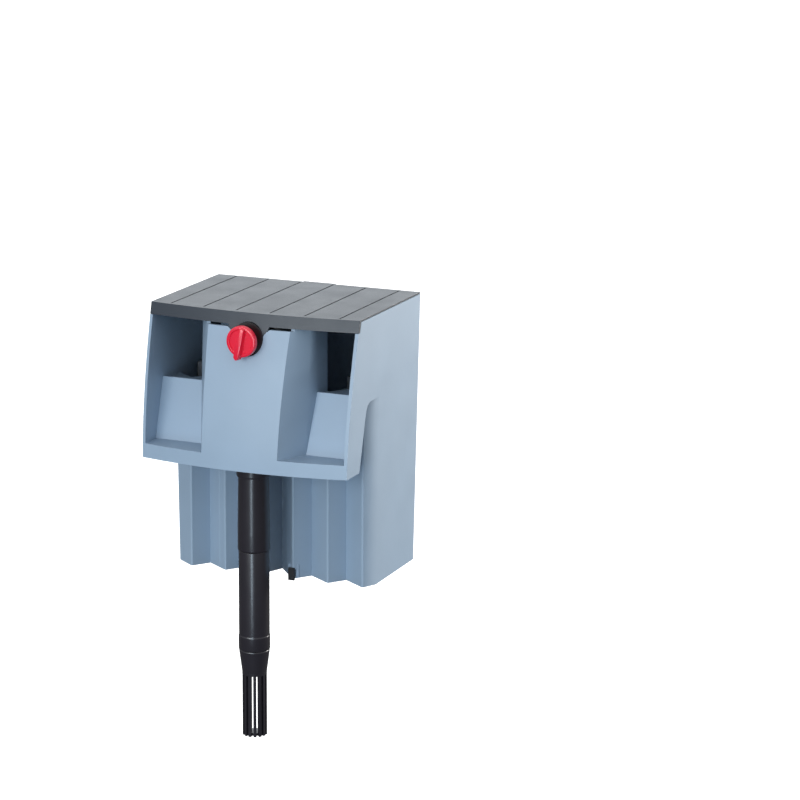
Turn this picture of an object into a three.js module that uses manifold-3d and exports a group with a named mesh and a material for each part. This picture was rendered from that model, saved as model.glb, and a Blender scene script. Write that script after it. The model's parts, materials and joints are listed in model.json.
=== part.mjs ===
// Hang-on aquarium filter: a tank that hangs outside the glass, a hood that hangs inside it with two
// spillways, a lift-off lid, a flow knob, a telescopic intake tube, a submersible pump, two cartridges.
// Millimetres, +Z up, +X to the right as seen from inside the aquarium, +Y away from the aquarium.
import * as THREE from "three";
import { mergeVertices } from "three/addons/utils/BufferGeometryUtils.js";
import Module from "manifold-3d";

const wasm = await Module();
wasm.setup();

// ---- driving dimensions ------------------------------------------------------------------------
// Drawing frame: z = 0 at the tank's bottom, y = 0 at the lid's front corners, x = 0 in the middle.
const HEIGHT = 223; // tank bottom to lid top
const HALF_WIDTH = 90; // at the lid
const SIDE_DRAFT = 3; // each side leans in by this much from the lid to the tank's bottom
const REAR_Y = 121.5; // rear face at the lid
const REAR_DRAFT = 4; // the rear face comes forward by this much at the bottom
const WALL = 2.6;
const GAP = 0.35; // between pieces that touch

const RIM_Z = 154.3; // underside of the bridge, which rests on the glass rim
const RIM_Y = 31; // middle of that face
const BRIDGE_TOP = RIM_Z + 2.5;
const HOOD_BOTTOM = 101;
const SHELF_Z = 112.5; // the flat shelf at the front of each spillway
const RAMP_FOOT_Y = -3.2; // the ramp rises from the shelf's rear edge to the weir
const CREST_Y = 12;
const CREST_Z = 160;
const PANEL_TOP = 211.3; // top of the middle front panel
const SKIRT_BOTTOM = 213.5; // lower edge of the lid's front skirt
const LID_PLATE = 2.2;
const LID_EDGE = 1.2; // the plate is thinner where it lies on the walls
const WALL_TOP = HEIGHT - LID_EDGE - GAP;
const SLOT_REAR_Y = 39.5; // front edge of the tank's sides
const SLOT_FRONT_Y = 24.5; // in front of every ridge of the tank's front wall

// Limits for cutters, well outside the filter.
const AHEAD = -60;
const IN_TANK = 60;
const ABOVE = HEIGHT + 10;
const BESIDE = HALF_WIDTH + 5;

const FRONT_SWEEP = 21.5; // how far the front comes forward from the lid to the hood's bottom
const FRONT_BOW = 7.5; // how far the middle of the front stands out at the lid
const BOW_GROWTH = 2.5; // and how much more it does at the hood's bottom
const FRONT_CURVE = 1.6; // 1 would be a straight slope, 2 a parabola

const PANEL_HALF = 32.6; // half width of the middle panel at the shelf
const PANEL_FLARE = 2.4; // it widens by this much on each side at its top
const COLUMN_HALF = 48.4; // half width of the column at the weir
const WALL_SLANT = 2.9; // the column's slanting wall, measured along x
const COLUMN_REAR_Y = 14.2; // outer face of the column's rear wall
const COLUMN_REAR_TOP = 146;

const KNOB_Z = 203.2;
const KNOB_R = 12.5;
const KNOB_FACE = -25.2; // y of the knob's disc
const KNOB_DISC = 4;
const KNOB_HUB_R = 6.4;
const KNOB_BACK = 5; // behind every piece of the panel and the skirt
const KNOB_TURN = 13; // degrees from straight down to the pointer
const POCKET_R = 13.5;
const POCKET_LIP = 0.22; // radians above level where the pocket meets the panel's shoulders
const SHOULDER = 18.2; // half width of the notch at the panel's top

const TUBE_Y = -3; // intake tube's axis
const COLLAR_R = 13.7;
const COLLAR_BORE = 12.65;
const COLLAR_BOTTOM = 91;
const TUBE_TOP_R = 11.6; // inside the duct's socket
const TUBE_NECK_R = 12.3; // inside the collar
const TUBE_R = 12.95; // at the riser's lower end
const TUBE_BORE = 10.4;
const TUBE_SEAM = 30.5; // riser above, extension below
const TUBE_END = -51.5;
const SPIGOT_R = 10.05;
const SPIGOT_TOP = 86; // the extension slides this far inside the riser
const EXTENSION_R = 12.3;
const BEAD_R = 12.6; // a thicker band at the extension's lower end
const BEAD_HEIGHT = 11;
const EXTENSION_BORE = 8.6;
const SHANK_R = 9.8; // the strainer's shank plugs into the extension
const SHANK_TOP = -25;
const SLOTS_TOP = -73;
const STRAINER_END = -123.8;
const STRAINER_R = 10;
const STRAINER_SLOTS = 14; // the bars between them are deep fins
const FIN_INNER_R = 5.5;
const PLATE_R = 6.5; // the plate in the middle of the end that joins the fins
const PLATE_HEIGHT = 2.2;

const DUCT_Y = 0.9; // the siphon duct's front leg
const DUCT_R = 9.5;
const DUCT_BORE = 7.5;
const PUMP_Y = 76;
const MOTOR_HALF = 22;
const MOTOR_BOTTOM = 11;
const MOTOR_TOP = 58;
const COVER_BOTTOM = 59.8;
const COVER_TOP = 76;
const ROTOR_R = 8;
const IMPELLER_R = 13;
const BLADES = 6;

const DIVIDER_X = 46.5; // middle of each wall between the pump bay and a cartridge bay
const CARTRIDGE = { x0: 50, x1: 82.6, y0: 66, y1: 84, z0: 3, z1: 161 };
const SPACER_X = 19;
const CORD = { x: 62, z: 212, r: 4.2 }; // the notch in the rear wall that the cord leaves by

// ---- materials ---------------------------------------------------------------------------------
const material = (color, roughness, metalness = 0) =>
  new THREE.MeshStandardMaterial({ color, roughness, metalness });
const greyShell = material(0x8fa3b8, 0.42);
const darkLid = material(0x54595f, 0.5);
const redKnob = material(0xd8202f, 0.35);
const blackTube = material(0x25252a, 0.35);
const blackPart = material(0x1d1e21, 0.5);
const greyPart = material(0x7d8790, 0.5);
const rubber = material(0x141414, 0.85);
const blueFoam = material(0x2f62a8, 0.95);
const carbonPad = material(0x202124, 0.95);
const steel = material(0xb9bcc0, 0.25, 1);
const magnet = material(0x3a3a3d, 0.6);
const ceramic = material(0xe8e6df, 0.4);

// ---- solids ------------------------------------------------------------------------------------
function solid(geometry) {
  const bare = geometry.clone();
  bare.deleteAttribute("normal");
  bare.deleteAttribute("uv");
  const merged = mergeVertices(bare, 1e-3);
  const index = merged.index.array;
  const kept = [];
  for (let i = 0; i < index.length; i += 3) {
    const [a, b, c] = [index[i], index[i + 1], index[i + 2]];
    if (a !== b && b !== c && c !== a) kept.push(a, b, c);
  }
  const vertProperties = new Float32Array(merged.attributes.position.array);
  const build = (tris) =>
    new wasm.Manifold(new wasm.Mesh({ numProp: 3, vertProperties, triVerts: new Uint32Array(tris) }));
  const made = build(kept);
  return made.volume() >= 0 ? made : build(kept.reverse());
}

const join = (first, ...rest) => rest.reduce((sum, next) => sum.add(next), first);
const cut = (first, ...rest) => rest.reduce((left, next) => left.subtract(next), first);
const mirrored = (shape) => shape.mirror([1, 0, 0]);
const both = (shape) => [shape, mirrored(shape)];

// Moves every vertex of a geometry by a function of its place.
function warp(geometry, place) {
  const position = geometry.attributes.position;
  const point = new THREE.Vector3();
  for (let i = 0; i < position.count; i++) {
    point.fromBufferAttribute(position, i);
    place(point);
    position.setXYZ(i, point.x, point.y, point.z);
  }
  return geometry;
}

function boxGeometry(x0, x1, y0, y1, z0, z1, nx = 1, ny = 1, nz = 1) {
  const geometry = new THREE.BoxGeometry(x1 - x0, y1 - y0, z1 - z0, nx, ny, nz);
  return geometry.translate((x0 + x1) / 2, (y0 + y1) / 2, (z0 + z1) / 2);
}
const box = (...limits) => solid(boxGeometry(...limits));

// An outline of [a, b] points, or a Shape, extruded along one axis from `from` to `to`.
// Along x the outline is (y, z), along y it is (x, z) and along z it is (x, y).
const AXES = {
  x: new THREE.Matrix4().set(0, 0, 1, 0, 1, 0, 0, 0, 0, 1, 0, 0, 0, 0, 0, 1),
  y: new THREE.Matrix4().set(1, 0, 0, 0, 0, 0, -1, 0, 0, 1, 0, 0, 0, 0, 0, 1),
  z: new THREE.Matrix4(),
};
function prismGeometry(outline, axis, from, to, steps = 1) {
  const shape = Array.isArray(outline)
    ? new THREE.Shape(outline.map(([a, b]) => new THREE.Vector2(a, b)))
    : outline;
  const options = { depth: to - from, bevelEnabled: false, steps, curveSegments: 10 };
  const geometry = new THREE.ExtrudeGeometry(shape, options);
  geometry.translate(0, 0, axis === "y" ? -to : from);
  return geometry.applyMatrix4(AXES[axis]);
}
const prism = (...details) => solid(prismGeometry(...details));

function roundedRectangle(halfX, halfY, radius, x = 0, y = 0) {
  const shape = new THREE.Shape();
  const corners = [[1, 1, 0], [-1, 1, 0.5], [-1, -1, 1], [1, -1, 1.5]];
  shape.moveTo(x + halfX, y + halfY - radius);
  for (const [sx, sy, turn] of corners) {
    const start = turn * Math.PI;
    const [cx, cy] = [x + sx * (halfX - radius), y + sy * (halfY - radius)];
    shape.absarc(cx, cy, radius, start, start + Math.PI / 2, false);
  }
  return shape;
}

// Round bars along z, y and x.
function rod(radius, x, y, z0, z1, sides = 32, topRadius = radius) {
  const geometry = new THREE.CylinderGeometry(topRadius, radius, z1 - z0, sides);
  return solid(geometry.rotateX(Math.PI / 2).translate(x, y, (z0 + z1) / 2));
}
function rodAlongY(radius, x, z, y0, y1, sides = 32) {
  return solid(new THREE.CylinderGeometry(radius, radius, y1 - y0, sides).translate(x, (y0 + y1) / 2, z));
}
function rodAlongX(radius, y, z, x0, x1, sides = 24) {
  const geometry = new THREE.CylinderGeometry(radius, radius, x1 - x0, sides);
  return solid(geometry.rotateZ(Math.PI / 2).translate((x0 + x1) / 2, y, z));
}

// A closed profile of [radius, z] points turned about a vertical axis.
function turned(profile, x, y, sides = 32) {
  const points = [...profile, profile[0]].map(([r, z]) => new THREE.Vector2(r, z));
  const geometry = new THREE.LatheGeometry(points, sides).rotateX(Math.PI / 2);
  return solid(geometry.translate(x, y, 0));
}

const ring = (x, y, z, radius, section) =>
  solid(new THREE.TorusGeometry(radius, section, 8, 32).translate(x, y, z));

// ---- shared surfaces of the housing ------------------------------------------------------------
const share = (z) => (HEIGHT - z) / HEIGHT; // 0 at the lid, 1 at the tank's bottom
const narrowing = (z) => 1 - (SIDE_DRAFT / HALF_WIDTH) * share(z);
const FRONT_SPAN = HEIGHT - HOOD_BOTTOM;
// How far down the front curve a height lies, 0 at the lid and 1 at the hood's bottom.
const down = (z) => Math.min(1.2, Math.max(0, (HEIGHT - z) / FRONT_SPAN));
const sweep = (z) => FRONT_SWEEP * (1 - Math.max(0, 1 - down(z)) ** FRONT_CURVE);
const bow = (x, z) => (FRONT_BOW + BOW_GROWTH * down(z)) * (1 - (x / HALF_WIDTH) ** 2);
const frontY = (x, z) => -sweep(z) - bow(x, z);
const rearY = (z) => REAR_Y - REAR_DRAFT * share(z);
const panelFlare = (z) => PANEL_FLARE * Math.max(0, (z - SHELF_Z) / (PANEL_TOP - SHELF_Z)) ** 1.5;

// A slab that follows the front surface: z0 to z1, from `inset` behind the surface to `inset + depth`.
function frontSlab(half, z0, z1, inset, depth, nx = 18, nz = 4) {
  const flat = boxGeometry(-half, half, 0, depth, z0, z1, nx, 1, nz);
  return solid(warp(flat, (p) => (p.y += frontY(p.x, p.z) + inset)));
}

// The front curve of the hood's side view, from z0 to z1, moved back by `inset`.
function frontEdge(z0, z1, inset = 0, steps = 12) {
  const heights = Array.from({ length: steps + 1 }, (_, i) => z0 + ((z1 - z0) * i) / steps);
  return heights.map((z) => [-sweep(z) + inset, z]);
}

// A side view extruded along x, with its front points bowed and its sides leaning in.
function sideBlock(outline, x0, x1, frontLimit, steps = 18) {
  return solid(
    warp(prismGeometry(outline, "x", x0, x1, steps), (p) => {
      if (p.y < frontLimit) p.y -= bow(p.x, p.z);
      p.x *= narrowing(p.z);
    }),
  );
}

// ---- housing -----------------------------------------------------------------------------------
// The slot for the glass, as seen from the side: the hood's rear edge, a rounded corner, the roof.
const SLOT_EDGE = [
  [3, HOOD_BOTTOM],
  [13.4, 143],
  [14.6, 147.2],
  [16.9, 151.2],
  [20, 153.5],
  [23.4, RIM_Z],
];

// The tank's corrugated front wall in plan: its ridges bear on the glass.
const RIDGE_Y = 28;
const VALLEY_Y = 41;
const MIDDLE_VALLEY_Y = 50;
const RIDGE_PITCH = 30.2;
const FIRST_RIDGE = -70.7;
const RIDGES = 6;
const RIDGE_TO_VALLEY = 10.5;
const OUTSIDE_X = 86; // only what lies further out leans in with the sides
const RIDGE_FLAT = 0.8;

function corrugation(offset = 0) {
  const points = [];
  for (let k = 0; k < RIDGES; k++) {
    const ridge = FIRST_RIDGE + k * RIDGE_PITCH;
    const valley = k === 2 ? MIDDLE_VALLEY_Y : VALLEY_Y;
    points.push([ridge - RIDGE_FLAT, RIDGE_Y + offset], [ridge + RIDGE_FLAT, RIDGE_Y + offset]);
    if (k < RIDGES - 1) points.push([ridge + RIDGE_TO_VALLEY, valley + offset]);
  }
  return points;
}

function lean(p) {
  if (Math.abs(p.x) > OUTSIDE_X) p.x *= narrowing(p.z);
}
const leaning = (geometry) => solid(warp(geometry, lean));

function outerBlock() {
  const outline = [
    ...frontEdge(HOOD_BOTTOM, WALL_TOP),
    [rearY(WALL_TOP), WALL_TOP],
    [rearY(0), 0],
    [RIDGE_Y - 2, 0],
    [RIDGE_Y - 2, RIM_Z],
    ...SLOT_EDGE.slice().reverse(),
  ];
  const ahead = [
    [-BESIDE, SLOT_FRONT_Y],
    [BESIDE, SLOT_FRONT_Y],
    [BESIDE, SLOT_REAR_Y],
    [HALF_WIDTH, SLOT_REAR_Y],
    ...corrugation().reverse(),
    [-HALF_WIDTH, SLOT_REAR_Y],
    [-BESIDE, SLOT_REAR_Y],
  ];
  const columnBack = box(-COLUMN_HALF, COLUMN_HALF, 0, COLUMN_REAR_Y, HOOD_BOTTOM, COLUMN_REAR_TOP);
  const block = sideBlock(outline, -HALF_WIDTH, HALF_WIDTH, 0.5);
  return join(block, columnBack).subtract(leaning(prismGeometry(ahead, "z", -1, RIM_Z)));
}

function tankCavity() {
  const inside = HALF_WIDTH - WALL;
  const middle = 100; // whatever lies further back follows the rear face
  const outline = [
    [-inside, SLOT_REAR_Y + WALL],
    ...corrugation(2.9),
    [inside, SLOT_REAR_Y + WALL - 1],
    [inside, REAR_Y - WALL],
    [-inside, REAR_Y - WALL],
  ];
  return solid(
    warp(prismGeometry(outline, "z", WALL, ABOVE), (p) => {
      lean(p);
      if (p.y > middle) p.y -= REAR_DRAFT * share(p.z);
    }),
  );
}

// The column's side wall in plan, at the shelf's height: from the panel's edge back to the weir.
const WALL_FRONT_Y = -30;
const WALL_PLAN = [[PANEL_HALF, WALL_FRONT_Y], [45.7, RAMP_FOOT_Y], [COLUMN_HALF, CREST_Y]];

// Moves a point of that plan to its place at its own height, so that the wall follows the front.
function followFront(p) {
  const along = Math.min(1, Math.max(0, (CREST_Y - p.y) / (CREST_Y - WALL_FRONT_Y)));
  if (p.y >= WALL_FRONT_Y && p.y < CREST_Y) p.y = CREST_Y - along * (CREST_Y - frontY(PANEL_HALF, p.z));
  p.x += Math.sign(p.x) * panelFlare(p.z) * along;
}

// Everything between the column and one cheek.
function besideColumn() {
  const far = HALF_WIDTH - WALL;
  const plan = [[PANEL_HALF, AHEAD], ...WALL_PLAN, [COLUMN_HALF, IN_TANK], [far, IN_TANK], [far, AHEAD]];
  const place = (p) => (p.x > COLUMN_HALF + 1 ? lean(p) : followFront(p));
  return solid(warp(prismGeometry(plan, "z", HOOD_BOTTOM - 5, ABOVE, 14), place));
}

// What is open above one spillway: out through the front, back over the weir to the tank.
function spillway() {
  const sideView = [
    [AHEAD, SHELF_Z],
    [RAMP_FOOT_Y, SHELF_Z],
    [CREST_Y, CREST_Z],
    [CREST_Y + WALL, CREST_Z],
    [CREST_Y + WALL, BRIDGE_TOP],
    [IN_TANK, BRIDGE_TOP],
    [IN_TANK, ABOVE],
    [AHEAD, ABOVE],
  ];
  return besideColumn().intersect(prism(sideView, "x", PANEL_HALF - 10, BESIDE));
}

// The hollow under one shelf and behind its ramp, open to the slot.
function underShelf() {
  const front = -FRONT_SWEEP + WALL;
  const bottom = HOOD_BOTTOM - 3;
  const outline = [
    [front, bottom],
    [front, SHELF_Z - WALL],
    [RAMP_FOOT_Y + 1.9, SHELF_Z - WALL],
    [CREST_Y - 0.4, 150.5],
    [CREST_Y + 0.8, RIM_Z],
    [SLOT_FRONT_Y, RIM_Z],
    [SLOT_FRONT_Y, bottom],
  ];
  return besideColumn().intersect(sideBlock(outline, PANEL_HALF - 10, BESIDE, -10, 5));
}

// The hollow column behind the middle panel, open to the tank above the bridge.
function columnHollow() {
  const narrow = PANEL_HALF - WALL_SLANT;
  const wall = WALL_PLAN.map(([x, y]) => [x - WALL_SLANT, y]);
  const half = [[narrow, AHEAD], ...wall, [COLUMN_HALF - WALL_SLANT, IN_TANK]];
  const plan = [...half, ...half.map(([x, y]) => [-x, y]).reverse()];
  const floor = HOOD_BOTTOM + WALL;
  const inner = COLUMN_REAR_Y - WALL;
  const sideView = [
    ...frontEdge(floor, HEIGHT, WALL),
    [0, ABOVE],
    [IN_TANK, ABOVE],
    [IN_TANK, BRIDGE_TOP],
    [18, BRIDGE_TOP],
    [inner, COLUMN_REAR_TOP],
    [inner, floor],
  ];
  const inside = sideBlock(sideView, -HALF_WIDTH, HALF_WIDTH, 3);
  return inside.intersect(solid(warp(prismGeometry(plan, "z", floor, ABOVE, 12), followFront)));
}

// The knob's notch in the panel: a round pocket, open to the top between two rounded shoulders.
function knobNotch() {
  const [lipX, lipZ] = [POCKET_R * Math.cos(POCKET_LIP), KNOB_Z + POCKET_R * Math.sin(POCKET_LIP)];
  const bend = [SHOULDER - 2.2, PANEL_TOP - 0.9];
  const outline = new THREE.Shape();
  outline.moveTo(-SHOULDER, PANEL_TOP + 4);
  outline.lineTo(-SHOULDER, PANEL_TOP);
  outline.quadraticCurveTo(-bend[0], bend[1], -lipX, lipZ);
  outline.absarc(0, KNOB_Z, POCKET_R, Math.PI - POCKET_LIP, 2 * Math.PI + POCKET_LIP, false);
  outline.quadraticCurveTo(bend[0], bend[1], SHOULDER, PANEL_TOP);
  outline.lineTo(SHOULDER, PANEL_TOP + 4);
  return outline;
}

// One wall between the pump bay and a cartridge bay, with its window and the cartridge's guides.
function bayWall() {
  const [bottom, top, guideTop, thick] = [1, 150, 145, 2];
  const [front, rear] = [31.8, (z) => rearY(z) - WALL / 2];
  const sideView = [[front, bottom], [rear(bottom), bottom], [rear(top), top], [front, top]];
  const wall = prism(sideView, "x", DIVIDER_X - 1, DIVIDER_X + 1);
  const window = box(DIVIDER_X - 3, DIVIDER_X + 3, 92, 111, 20, 100);
  const guides = [];
  for (const y of [CARTRIDGE.y0 - GAP - thick, CARTRIDGE.y1 + GAP]) {
    guides.push(box(DIVIDER_X, CARTRIDGE.x0 + 2.5, y, y + thick, bottom, guideTop));
    guides.push(leaning(boxGeometry(81.5, 88.2, y, y + thick, bottom, guideTop)));
  }
  return join(wall.subtract(window), ...guides);
}

// The blind socket in the tank's foot that one glass spacer slides in.
const socketBlock = () => box(SPACER_X - 4.6, SPACER_X + 4.6, 30.5, 47.5, 0.4, 11.4);
const socketHole = () => box(SPACER_X - 2.6, SPACER_X + 2.6, 20, 45.5, 1.6, 7.6);

function housing() {
  const open = [...both(spillway()), ...both(underShelf()), columnHollow()];
  const shell = cut(outerBlock(), tankCavity(), ...open);
  const belowRim = leaning(boxGeometry(-BESIDE, BESIDE, 10, RIDGE_Y, -2, 14));
  const walls = both(bayWall());
  const sockets = both(socketBlock().subtract(belowRim));
  const lidSeat = frontSlab(HALF_WIDTH + 3, SKIRT_BOTTOM - GAP, ABOVE, -12, 12 + WALL + GAP);
  const panelTrim = frontSlab(COLUMN_HALF, PANEL_TOP, ABOVE, -12, 12 + WALL + GAP);
  const columnTrim = box(-IN_TANK, IN_TANK, AHEAD, IN_TANK, HEIGHT - LID_PLATE - GAP, ABOVE);
  const collarHole = rod(COLLAR_R + GAP, 0, TUBE_Y, HOOD_BOTTOM - 3, HOOD_BOTTOM + 5, 40);
  const { x, z, r } = CORD;
  const cordNotch = join(rodAlongY(r, x, z, 110, 130, 24), box(x - r, x + r, 110, 130, z, ABOVE));
  const knobHole = prism(knobNotch(), "y", AHEAD, KNOB_BACK);
  const trimmed = cut(shell, lidSeat, panelTrim, columnTrim, collarHole, cordNotch, knobHole);
  return cut(join(trimmed, ...walls, ...sockets), ...both(socketHole()));
}

// ---- lid ---------------------------------------------------------------------------------------
const GROOVES = [14.5, 43.5, 72.5];
const GROOVE_HALF = 0.65;
const GROOVE_DEPTH = 0.9;
const TAB_HALF = 17.6; // the skirt's tab above the knob
const TAB_TIP = { x: 13.6, z: 207 };

// What is cut off the lid's front below the skirt, to leave only the tab.
function skirtTrim() {
  const outline = new THREE.Shape();
  const low = KNOB_Z - 8;
  const bend = [TAB_HALF - 1.2, 210.4];
  outline.moveTo(-BESIDE, low);
  outline.lineTo(BESIDE, low);
  outline.lineTo(BESIDE, SKIRT_BOTTOM);
  outline.lineTo(TAB_HALF, SKIRT_BOTTOM);
  outline.quadraticCurveTo(bend[0], bend[1], TAB_TIP.x, TAB_TIP.z);
  outline.lineTo(-TAB_TIP.x, TAB_TIP.z);
  outline.quadraticCurveTo(-bend[0], bend[1], -TAB_HALF, SKIRT_BOTTOM);
  outline.lineTo(-BESIDE, SKIRT_BOTTOM);
  return prism(outline, "y", AHEAD, KNOB_BACK);
}

// Thins the plate along the sides and the rear, where it lies on the housing's walls.
function lidRebate(back) {
  const inner = 86.6;
  const whole = box(-BESIDE, BESIDE, 1.9, back + 9, HEIGHT - 5, HEIGHT - LID_EDGE);
  return whole.subtract(box(-inner, inner, 0, back - 3, HEIGHT - 6, HEIGHT));
}

function lid() {
  const back = rearY(HEIGHT);
  const underside = HEIGHT - LID_PLATE;
  const outline = [
    ...frontEdge(KNOB_Z - 3, HEIGHT, 0, 6),
    [back, HEIGHT],
    [back, underside],
    ...frontEdge(KNOB_Z - 3, underside, WALL, 6).reverse(),
  ];
  const panel = sideBlock(outline, -HALF_WIDTH, HALF_WIDTH, 4).subtract(lidRebate(back));
  const railBottom = underside - 6.8;
  const rails = both(box(83.6, 86.1, 8, 114, railBottom, HEIGHT - 1));
  const rearRail = box(-82, CORD.x - 8, 114.5, 116.7, railBottom, HEIGHT - 1);
  const fingerTab = [
    box(-14, 14, back - 1, back + 3.5, HEIGHT - LID_EDGE + 0.1, HEIGHT - 0.3),
    box(-14, 14, back + 0.6, back + 3.5, HEIGHT - 4, HEIGHT - 0.3),
  ];
  const grooveFloor = HEIGHT - GROOVE_DEPTH;
  const groove = (x) => box(x - GROOVE_HALF, x + GROOVE_HALF, -3 + x / 24, back - 2, grooveFloor, ABOVE);
  const knobClear = rodAlongY(POCKET_R - 0.3, 0, KNOB_Z, AHEAD, KNOB_BACK, 40);
  const grooves = GROOVES.flatMap((x) => both(groove(x)));
  return cut(join(panel, ...rails, rearRail, ...fingerTab), skirtTrim(), knobClear, ...grooves);
}

// ---- flow control ------------------------------------------------------------------------------
function knob() {
  const disc = rodAlongY(KNOB_R, 0, KNOB_Z, KNOB_FACE, KNOB_FACE + KNOB_DISC, 40);
  const hub = rodAlongY(KNOB_HUB_R, 0, KNOB_Z, KNOB_FACE + KNOB_DISC - 1, -12.2, 32);
  const rim = rodAlongY(KNOB_R - 0.9, 0, KNOB_Z, KNOB_FACE - 0.8, KNOB_FACE + 1, 40);
  const right = [[1.7, 11.6], [3.1, -10.5], [2.6, -13.6]];
  const grip = [...right, [0, -15.6], ...right.map(([x, z]) => [-x, z]).reverse()];
  const turn = ([x, z]) => {
    const a = (-KNOB_TURN * Math.PI) / 180;
    return [x * Math.cos(a) - z * Math.sin(a), KNOB_Z + x * Math.sin(a) + z * Math.cos(a)];
  };
  const handle = prism(grip.map(turn), "y", KNOB_FACE - 3.6, KNOB_FACE + 0.9);
  return cut(join(disc, hub, rim, handle), rodAlongY(2.4, 0, KNOB_Z, -16.6, -11, 20));
}

// A spindle that carries a drum with a window, which opens or shuts the way in from the riser.
function valve() {
  const spindle = rodAlongY(2.05, 0, KNOB_Z, -16.2, -6, 20);
  const drum = rodAlongY(DUCT_BORE - GAP, 0, KNOB_Z, -6.4, 11, 32);
  const inside = rodAlongY(DUCT_BORE - 1.6, 0, KNOB_Z, -4.6, 12, 32);
  const window = box(-4.6, 4.6, -4.2, 7.4, KNOB_Z - 12, KNOB_Z - 3);
  return cut(join(spindle, drum), inside, window);
}

function spindleRing() {
  const geometry = new THREE.TorusGeometry(3.05, 0.65, 8, 28).rotateX(Math.PI / 2);
  return solid(geometry.translate(0, -9.3, KNOB_Z));
}

// The inverted-U duct that carries the water over the rim to the pump.
function duct() {
  const [front, back] = [-8.4, PUMP_Y];
  const flange = rodAlongY(POCKET_R - 0.5, 0, KNOB_Z, -11.4, front, 40);
  const bars = join(
    rod(DUCT_R, 0, DUCT_Y, 126, KNOB_Z, 32),
    rodAlongY(DUCT_R, 0, KNOB_Z, front - 0.5, back + 0.1, 32),
    rod(DUCT_R, 0, PUMP_Y, 80.5, KNOB_Z, 32),
    solid(new THREE.SphereGeometry(DUCT_R, 32, 16).translate(0, PUMP_Y, KNOB_Z)),
    rod(TUBE_TOP_R + 2.2, 0, TUBE_Y, 108.5, 130, 36),
    flange,
  );
  return cut(
    bars,
    rod(DUCT_BORE, 0, DUCT_Y, 125, KNOB_Z, 32),
    rodAlongY(DUCT_BORE, 0, KNOB_Z, -6.8, back, 32),
    rod(DUCT_BORE, 0, PUMP_Y, 79, KNOB_Z, 32),
    solid(new THREE.SphereGeometry(DUCT_BORE, 32, 16).translate(0, PUMP_Y, KNOB_Z)),
    rod(TUBE_TOP_R + 0.5, 0, TUBE_Y, 107, 126.5, 36),
    rodAlongY(2.4, 0, KNOB_Z, -13, -5, 20),
    rodAlongY(4, 0, KNOB_Z, -10.3, -8.2, 24),
  );
}

// ---- intake tube -------------------------------------------------------------------------------
const FLANGE = 0.6; // holds the collar up on the hood's floor
const COLLAR_TOP = HOOD_BOTTOM + WALL + 2.4;
function collar() {
  return turned(
    [
      [COLLAR_BORE, COLLAR_BOTTOM],
      [COLLAR_R - 0.6, COLLAR_BOTTOM],
      [COLLAR_R, COLLAR_BOTTOM + 0.8],
      [COLLAR_R, HOOD_BOTTOM + WALL + GAP],
      [COLLAR_R + FLANGE, HOOD_BOTTOM + WALL + GAP],
      [COLLAR_R + FLANGE, COLLAR_TOP],
      [COLLAR_BORE, COLLAR_TOP],
    ],
    0,
    TUBE_Y,
    40,
  );
}

function riserTube() {
  return turned(
    [
      [TUBE_BORE, TUBE_SEAM],
      [TUBE_R - 0.5, TUBE_SEAM],
      [TUBE_R, TUBE_SEAM + 0.6],
      [TUBE_NECK_R, COLLAR_BOTTOM - 1],
      [TUBE_NECK_R, COLLAR_TOP],
      [TUBE_TOP_R, COLLAR_TOP + 1.5],
      [TUBE_TOP_R, 125.8],
      [TUBE_BORE - 1, 125.8],
      [TUBE_BORE - 1, 124],
      [TUBE_BORE, 123],
    ],
    0,
    TUBE_Y,
    36,
  );
}

const SEAL_Z = SPIGOT_TOP - 4;
function extensionTube() {
  return turned(
    [
      [EXTENSION_BORE, SPIGOT_TOP],
      [SPIGOT_R - 0.4, SPIGOT_TOP],
      [SPIGOT_R, SPIGOT_TOP - 0.6],
      [SPIGOT_R, SEAL_Z + 1],
      [SPIGOT_R - 0.75, SEAL_Z + 1],
      [SPIGOT_R - 0.75, SEAL_Z - 1],
      [SPIGOT_R, SEAL_Z - 1],
      [SPIGOT_R, TUBE_SEAM - GAP],
      [EXTENSION_R - 0.5, TUBE_SEAM - GAP],
      [EXTENSION_R, TUBE_SEAM - GAP - 0.6],
      [EXTENSION_R, TUBE_END + BEAD_HEIGHT + 0.5],
      [BEAD_R, TUBE_END + BEAD_HEIGHT],
      [BEAD_R, TUBE_END + 0.6],
      [BEAD_R - 0.5, TUBE_END],
      [SHANK_R + 0.3, TUBE_END],
      [SHANK_R + 0.3, SHANK_TOP + 1],
      [EXTENSION_BORE, SHANK_TOP + 3],
    ],
    0,
    TUBE_Y,
    36,
  );
}

function strainer() {
  const shoulder = TUBE_END - GAP;
  const body = turned(
    [
      [SHANK_R - 1.6, SHANK_TOP],
      [SHANK_R, SHANK_TOP],
      [SHANK_R, shoulder],
      [BEAD_R - 0.6, shoulder],
      [BEAD_R - 0.3, shoulder - 1.2],
      [STRAINER_R, SLOTS_TOP + 2.4],
      [STRAINER_R, STRAINER_END + 0.8],
      [STRAINER_R - 0.6, STRAINER_END],
      [0, STRAINER_END],
      [0, STRAINER_END + PLATE_HEIGHT],
      [FIN_INNER_R, STRAINER_END + PLATE_HEIGHT],
      [FIN_INNER_R, SLOTS_TOP - 1],
      [SHANK_R - 1.6, SLOTS_TOP + 2],
    ],
    0,
    TUBE_Y,
    42,
  );
  const plateTop = STRAINER_END + PLATE_HEIGHT + 0.6;
  const half = 0.95;
  const slots = [];
  for (let i = 0; i < STRAINER_SLOTS; i++) {
    const slot = join(
      box(FIN_INNER_R - 1.2, STRAINER_R + 3, -half, half, plateTop, SLOTS_TOP),
      box(PLATE_R, STRAINER_R + 3, -half, half, STRAINER_END - 1, plateTop + 1),
    );
    slots.push(slot.rotate([0, 0, (360 * i) / STRAINER_SLOTS]).translate([0, TUBE_Y, 0]));
  }
  return cut(body, ...slots);
}

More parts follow.
